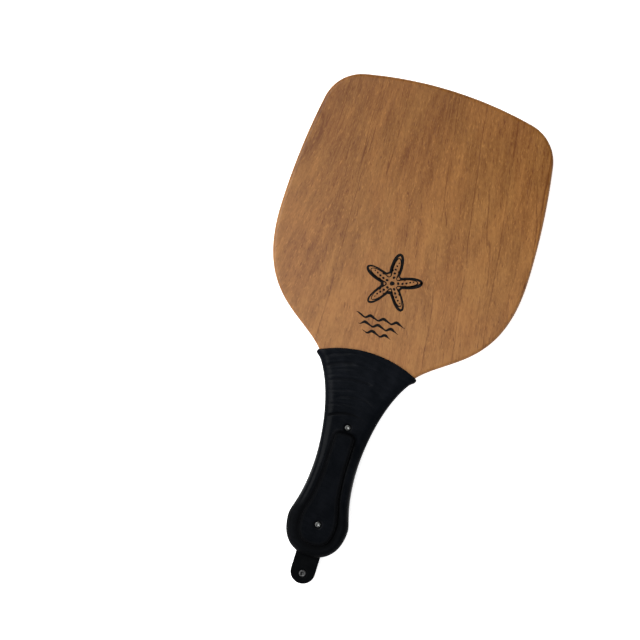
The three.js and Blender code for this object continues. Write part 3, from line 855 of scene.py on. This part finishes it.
# The folds, the crease, how deep all of them may go together, and how far from the sides they
# start and reach their depth.
FOLD_RADIUS, FOLD_DEPTH, FOLD_SHARPNESS, REAR_FOLDS = 62.0, 0.9, 3, 0.8
CREASE_HEIGHT, CREASE_RADIUS, CREASE_LEFT, CREASE_RIGHT = 126.0, 31.0, -20.0, 15.0
CREASE_DEPTH, CREASE_WIDTH, CREASE_START, CREASE_FADE = 0.8, 0.75, 1.2, 24
SINK_MOST, SINK_ROUND, SINK_FROM, SINK_TO = 0.85, 0.4, 0.5, 7.5
# Long folds of the front: the apex's x and height, the arc's radius, the two ends, the depth and
# the half width.
LONG_FOLDS = (
    (1.0, 140.6, 45.0, -19.0, 15.0, 0.5, 1.0),
    (3.0, 155.3, 80.0, -26.0, 10.0, 0.6, 1.2),
    (-5.0, 168.5, 50.0, -35.0, -9.0, 0.7, 1.0),
    (-5.0, 176.5, 60.0, -37.0, -16.0, 0.5, 0.9),
    (-8.0, 162.4, 50.0, -27.0, -12.0, 0.3, 0.8),
    (6.0, 151.0, 30.0, 8.0, 23.0, 0.25, 1.4),
)
LONG_FOLD_FADE = 5


def ramp(value, start, end):
    """0 at the start and before it, 1 at the end and past it, and straight between the two."""
    return np.clip((value - start) / (end - start), 0, 1)


def wave(x, period, phase):
    return 0.5 + 0.5 * np.sin(2 * math.pi * x / period + phase)


def folds(x, y, z):
    """How far the folds sink into the skin, along arcs that wander a little and fade in places."""
    height = y + x ** 2 / (2 * FOLD_RADIUS)
    index = (MOUTH_HEIGHT - height) / FOLD_PITCH
    near = np.round(index)
    wander = 0.13 * np.sin(x / 11 + near * 2.4) + 0.05 * np.sin(x / 4.1 + near * 5.1)
    ridge = ((1 + np.cos(2 * math.pi * (index + wander))) / 2) ** FOLD_SHARPNESS
    fading = 0.72 * wave(x, 47 + 3 * np.sin(near * 1.7), near * 2.1) * wave(x, 29, near * 4.3)
    strength = (0.28 + fading) * (0.65 + 0.35 * np.clip(-x / 18, -1, 1))
    strength = strength * (0.2 + 0.8 * wave(near, 2.63, 0.8) ** 2)
    strength = strength * np.where(z > 0, 1.0, REAR_FOLDS)
    reach = ramp(height, FOLDS_END, FOLDS_END + 6) * ramp(height, MOUTH_HEIGHT, MOUTH_HEIGHT - 3)
    return FOLD_DEPTH * ridge * strength * reach


def long_folds(x, y, z):
    """The few deep folds, arcs that fade out at both ends. The rear has them mirrored."""
    side = np.where(z > 0, x, -x)
    total = 0.0
    for apex, height, radius, left, right, depth, width in LONG_FOLDS:
        across = y - height + (side - apex) ** 2 / (2 * radius)
        fade = ramp(side, left, left + LONG_FOLD_FADE) * ramp(side, right, right - LONG_FOLD_FADE)
        total = total + depth * fade * bell(across, width)
    return total


def crease(x, y, z, width=CREASE_WIDTH):
    """The one sharp groove above the scales, on the front, deepest at its left end."""
    across = y - CREASE_HEIGHT + x ** 2 / (2 * CREASE_RADIUS)
    fade = ramp(x, CREASE_LEFT, CREASE_LEFT + CREASE_START)
    fade = fade * ramp(x, CREASE_RIGHT, CREASE_RIGHT - CREASE_FADE)
    return np.where(z > 0, CREASE_DEPTH * fade * bell(across, width), 0)


def seat(x, y, z, height, face):
    """A field that is positive in the seats that a rivet's heads press into both faces."""
    above = np.abs(z) - (face - SEAT_DEPTH)
    flare = SEAT_FLARE * ramp(above, 0, SEAT_DEPTH)
    side = (SEAT_RADIUS + flare - np.hypot(x, y - height)) * SEAT_SLOPE
    return soft_min(above, side, SEAT_FLOOR_EDGE)


def sleeve_skin(x, y, z, skin, hump):
    """The sleeve's outside with its folds, as if it had no mouth, no tab and no rivets."""
    crest = ramp(y, SCALE_TOP - CREST_REACH, SCALE_TOP)
    sink = folds(x, y, z) + long_folds(x, y, z) + crease(x, y, z)
    sink = soft_min(sink, SINK_MOST, SINK_ROUND) * ramp(skin, SINK_FROM, SINK_TO)
    rise = FLANK_RISE * ramp(y, FLANK_TO, FLANK_FROM)
    wide = EDGE_LOW + (EDGE_HIGH - EDGE_LOW) * ramp(y, EDGE_FROM, EDGE_TO)
    body = plate(skin * (SKIN_EDGE + rise) / wide, z, SKIN_HALF + rise - sink, SKIN_EDGE + rise)
    lean = WALL_LEAN * (1 - CREST_UPRIGHT * crest) * ramp(np.abs(z), SKIN_HALF, WALL_TOP)
    raised = plate(hump - lean, z, GRIP_HALF, BROW_RADIUS)
    groove = (GROOVE_DEPTH - CREST_FILL * crest) * bell(hump + GROOVE_OUT, GROOVE_WIDTH)
    groove = groove * np.clip(np.abs(z) - SHEET_HALF, 0, 1)
    return soft_max(body - groove, raised - CREST_DROP * crest, FILLET + CREST_FILLET * crest)


def sleeve_field(x, y, z):
    mouth = MOUTH_RADIUS - np.hypot(x, np.maximum(y - MOUTH_CENTRE, 0))
    bare = skin_depth(x, y)
    skin = bare + LIP_BEAD * bell(mouth - LIP_HEIGHT, LIP_WIDTH)
    hump = hump_depth(x, y)
    body = sleeve_skin(x, y, z, skin, hump)
    collar_depth = np.minimum(TAB_WIDTH / 2 + COLLAR_MARGIN - np.abs(x), y + COLLAR_REACH)
    collar = plate(collar_depth, z, COLLAR_HALF, COLLAR_EDGE)
    collar = collar - np.clip(y - COLLAR_FROM, 0, COLLAR_TO - COLLAR_FROM)
    body = np.where(y < COLLAR_TO, soft_max(body, collar, COLLAR_FILLET), body)
    corner = rounded(skin, mouth, CORNER_RADIUS)
    body = soft_min(np.minimum(body, corner), mouth, LIP_EDGE)
    for height, face in ((UPPER_RIVET, SKIN_HALF), (LOWER_RIVET, GRIP_HALF)):
        body = soft_min(body, -seat(x, y, z, height, face), SEAT_BROW)
        body = np.minimum(body, np.hypot(x, y - height) - SEAT_BORE)
    room = plate(bare - COVER + FIT, z, SHEET_HALF + FIT, SHEET_EDGE + FIT)
    scale_room = plate(hump - COVER + FIT, z, SCALE_HALF + FIT, SCALE_EDGE + FIT)
    slit_depth = np.minimum(TAB_WIDTH / 2 + FIT - np.abs(x), TAB_ROOT - y)
    slit = plate(slit_depth, z, TAB_THICKNESS / 2 + FIT, SLIT_EDGE)
    for space in (room, scale_room, slit):
        body = np.minimum(body, -space)
    return body


def painted_shade(x, y, z):
    """How much painted shade each place gets, from 0 to 1: in the folds, the crease, the groove
    round the raised strip and the rivets' seats, on the flanks of the bulb and at the butt's edge
    round the tab.
    """
    hump = hump_depth(x, y)
    # Painted shade in the folds and the crease
    total = 0.8 * long_folds(x, y, z) + 0.5 * folds(x, y, z) + 2.2 * crease(x, y, z, width=1.0)
    # Painted shade on the wall of the raised strip and in the groove at its foot
    total = total + bell(hump_depth(x + 0.5, y) - 0.8, 2.3)
    # Painted shade on the flanks of the bulb, at the strip's foot near the butt, and at the butt's
    # edge round the tab
    total = total + 0.55 * ramp(hump, 0, -2) * ramp(y, 58, 38)
    total = total + 0.6 * bell(hump + 0.6, 1.8) * ramp(y, 24, 18)
    total = total + bell(y - 0.5, 2.5)
    # Painted shade round the rivets' seats
    for height in (UPPER_RIVET, LOWER_RIVET):
        total = total + 0.8 * bell(np.hypot(x, y - height) - SEAT_RADIUS - 0.5, 0.8)
    return np.clip(total, 0, 1)


SLEEVE_LOW, SLEEVE_HIGH, SLEEVE_STEP = (-50.3, -3.1, -13.5), (50.3, 184.3, 13.5), 0.66
sleeve = carved("rubber_sleeve", sleeve_field, SLEEVE_LOW, SLEEVE_HIGH, SLEEVE_STEP, RUBBER_BLACK)
# Each corner of the sleeve gets its share of painted shade, which the rubber reads.
corners = np.empty(3 * len(sleeve.data.vertices), np.float32)
sleeve.data.vertices.foreach_get("co", corners)
in_part = corners.reshape(-1, 3).astype(float) / MM - PLACE
painted_shade_depths = painted_shade(*in_part.T).astype(np.float32)
sleeve.data.attributes.new(PAINTED_SHADE_ATTRIBUTE, "FLOAT", "POINT").data.foreach_set("value", painted_shade_depths)
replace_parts(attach(sleeve, "racket"), "grip_sleeve")

# Rivets of the grip

RIVET_HEAD, RIVET_RISE, RIVET_SHANK, RIVET_SINK = 2.3, 0.95, 1.2, 1.0
DISH_RADIUS, DISH_DEPTH = 1.6, 0.6
FOOT_SHARE = 0.94


def dome(radius, rise, steps=10):
    """The profile of a round head with a small rolled foot, from its edge to the axis."""
    points = [(radius * FOOT_SHARE, 0), (radius, 0.12 * rise)]
    for angle in np.linspace(0.16, math.pi / 2, steps):
        points.append((radius * math.cos(angle), rise * math.sin(angle)))
    points[-1] = (0, rise)
    return points


def dished(radius, foot, rise, dish_radius, dish_depth):
    """The profile of a tubular rivet's head, a rolled rim round a dish, from edge to axis."""
    middle, half = (radius + dish_radius) / 2, (radius - dish_radius) / 2
    points = [(radius * FOOT_SHARE, foot), (radius, foot + 0.3 * rise)]
    for angle in np.linspace(0.2, math.pi, 9):
        z = foot + rise * (0.3 + 0.7 * math.sin(angle))
        points.append((middle + half * math.cos(angle), z))
    for share in (0.75, 0.45, 0):
        points.append((dish_radius * share, foot + rise - dish_depth * (1 - 0.6 * share ** 2)))
    return points


def grip_rivet(node, height, face):
    foot = face - RIVET_SINK
    front = dished(RIVET_HEAD, foot, RIVET_RISE, DISH_RADIUS, DISH_DEPTH)
    rear = [(radius, -z) for radius, z in reversed(front)]
    profile = [*rear, (RIVET_SHANK, -foot), (RIVET_SHANK, foot), *front]
    piece = turned("fine_" + node, profile, height, STEEL)
    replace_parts(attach(piece, "racket"), node)


grip_rivet("upper_grip_rivet", UPPER_RIVET, SKIN_HALF)
grip_rivet("lower_grip_rivet", LOWER_RIVET, GRIP_HALF)

# Tab and its rivet

RIM_RADIUS, RIM_RISE, POST_RADIUS, BORE_RADIUS, BORE_DEPTH = 3.1, 1.0, 1.6, 1.1, 2.2
CAP_RISE, SOCKET_DEPTH, SOCKET_FIT = 1.6, 0.8, 0.05
TAB_EDGE, POST_FIT = 0.55, 0.1
# How far the rivet's rim presses into the rubber, and over what width.
PRESS_DEPTH, PRESS_WIDTH = 0.18, 0.9
TAB_LOW, TAB_HIGH, TAB_STEP = (-11.9, -25.9, -1.9), (11.9, 39.1, 1.9), 0.5


def tab_field(x, y, z):
    end = TAB_WIDTH / 2 - TAB_REACH
    side = TAB_WIDTH / 2 - np.where(y < end, np.hypot(x, y - end), np.abs(x))
    depth = np.minimum(side, TAB_ROOT - y)
    press = PRESS_DEPTH * bell(np.hypot(x, y - TAB_RIVET) - RIM_RADIUS, PRESS_WIDTH)
    body = plate(depth, z, TAB_THICKNESS / 2 - press, TAB_EDGE)
    for height, radius in ((TAB_RIVET, POST_RADIUS + POST_FIT), (LOWER_RIVET, RIVET_SHANK + FIT)):
        body = np.minimum(body, np.hypot(x, y - height) - radius)
    return body


tab = carved("rubber_tab", tab_field, TAB_LOW, TAB_HIGH, TAB_STEP, RUBBER_FLAT)
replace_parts(tab, "hang_tab")
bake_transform(tab)

half_thickness = TAB_THICKNESS / 2
rim_middle, rim_half = (RIM_RADIUS + BORE_RADIUS) / 2, (RIM_RADIUS - BORE_RADIUS) / 2
rim = [
    (rim_middle + rim_half * math.cos(a), half_thickness + RIM_RISE * math.sin(a))
    for a in np.linspace(0, math.pi, 15)
]
post_end = FIT - half_thickness - SOCKET_DEPTH
bore_end = half_thickness + RIM_RISE - BORE_DEPTH
post = turned("fine_tab_rivet", [
    (0, post_end), (POST_RADIUS, post_end), (POST_RADIUS, half_thickness), *rim,
    (BORE_RADIUS, bore_end + 0.4), (BORE_RADIUS * 0.7, bore_end + 0.1), (0, bore_end),
], TAB_RIVET, DULL_STEEL)
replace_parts(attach(post, "tab"), "tab_rivet")

cap_dome = [(radius, -half_thickness - z) for radius, z in dome(RIM_RADIUS, CAP_RISE)]
socket = POST_RADIUS + SOCKET_FIT
cap = turned("fine_tab_rivet_cap", [
    *reversed(cap_dome), (socket, -half_thickness), (socket, -half_thickness - SOCKET_DEPTH),
    (0, -half_thickness - SOCKET_DEPTH),
], TAB_RIVET, DULL_STEEL)
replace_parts(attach(cap, "tab"), "tab_rivet_cap")


# Stage, light and camera

def aimed(thing, place, target):
    thing.location = place
    thing.rotation_mode = "QUATERNION"
    thing.rotation_quaternion = (Vector(target) - Vector(place)).to_track_quat("-Z", "Y")


def softbox(name, place, target, side, power):
    data = bpy.data.lights.new(name, "AREA")
    data.shape = "SQUARE"
    data.size = side
    data.energy = power
    lamp = bpy.data.objects.new(name, data)
    bpy.context.scene.collection.objects.link(lamp)
    aimed(lamp, place, target)


FLOOR_HALF = 4.0
floor_corners = ((-1, -1, 0), (1, -1, 0), (1, 1, 0), (-1, 1, 0))
floor_mesh = bpy.data.meshes.new("floor")
floor_mesh.from_pydata(np.multiply(floor_corners, FLOOR_HALF).tolist(), [], [(0, 1, 2, 3)])
floor = bpy.data.objects.new("floor", floor_mesh)
bpy.context.scene.collection.objects.link(floor)
paper = Graph("paper")
fine = paper.noise(paper.stretched(paper.place(), (3, 3, 3)), 3)
paper.bump(fine, 0.05, 0.2)
floor_mesh.materials.append(paper.surface(
    Base_Color=(0.85, 0.85, 0.85, 1), Roughness=0.9, Specular_IOR_Level=0.2,
    Emission_Color=(1, 1, 1, 1), Emission_Strength=0.85,
))
floor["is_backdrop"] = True

world = bpy.data.worlds.new("world")
world.use_nodes = True
bpy.context.scene.world = world


# The world's strength at the sides and overhead, and the heights of the sky between which it falls.
SKY_SIDES, SKY_TOP, SKY_FROM, SKY_TO = 1.0, 0.35, 0.45, 0.85


def dim_overhead(tree):
    """A pale studio with a dark ceiling: level gloss stays dark while the sides light the floor."""
    way = tree.nodes.new("ShaderNodeTexCoord")
    parts = tree.nodes.new("ShaderNodeSeparateXYZ")
    fall = tree.nodes.new("ShaderNodeMapRange")
    fall.interpolation_type = "SMOOTHSTEP"
    ends = {"From Min": SKY_FROM, "From Max": SKY_TO, "To Min": SKY_SIDES, "To Max": SKY_TOP}
    for key, value in ends.items():
        fall.inputs[key].default_value = value
    tree.links.new(way.outputs["Generated"], parts.inputs[0])
    tree.links.new(parts.outputs["Z"], fall.inputs["Value"])
    tree.links.new(fall.outputs[0], tree.nodes["Background"].inputs["Strength"])


dim_overhead(world.node_tree)

# The racket's axis leans to the right in the photograph by this angle. The camera looks straight
# down.
LEAN = math.radians(17.2)
UP = np.array([-math.sin(LEAN), math.cos(LEAN)])
RIGHT = np.array([math.cos(LEAN), math.sin(LEAN)])
# Millimetres per pixel, the pixels on a side, and the picture's centre from the lower rivet, in
# pixels to the right and up.
PIXEL, PIXEL_COUNT = 0.854, 640
RIVET_TO_CENTRE = (2.2, 203.0)
lower_rivet = to_row((0, LOWER_RIVET, 0))
centre = lower_rivet[:2] + PIXEL * MM * (RIVET_TO_CENTRE[0] * RIGHT + RIVET_TO_CENTRE[1] * UP)
CAMERA_HEIGHT = 1.5
IMAGE_SIDE = PIXEL_COUNT * PIXEL * MM
camera_data = bpy.data.cameras.new("camera")
camera_data.lens = camera_data.sensor_width * (CAMERA_HEIGHT - PLACE[2] * MM) / IMAGE_SIDE
camera = bpy.data.objects.new("camera", camera_data)
camera.location = (*centre, CAMERA_HEIGHT)
camera.rotation_euler = (0, 0, LEAN)
bpy.context.scene.collection.objects.link(camera)
bpy.context.scene.camera = camera


def seen(right, up, height):
    """A place in the row frame, from its metres to the right of and above the picture's centre."""
    return (*(centre + right * RIGHT + up * UP), height)


# Each lamp's offset to the picture's centre, to the right and up, and its height, then its side
# and its power.
LAMPS = {
    "key": ((-1.0, 0.56, 1.75), 2.0, 74),
    "low left": ((-0.5, -0.8, 0.9), 0.5, 4),
    "right": ((1.2, -0.2, 0.7), 1.2, 3.5),
}
for lamp_name, (lamp_place, lamp_side, lamp_power) in LAMPS.items():
    softbox(lamp_name, seen(*lamp_place), seen(0, 0, 0), lamp_side, lamp_power)

scene = bpy.context.scene
scene.view_settings.view_transform = "Standard"
scene.view_settings.look = "None"

low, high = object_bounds()
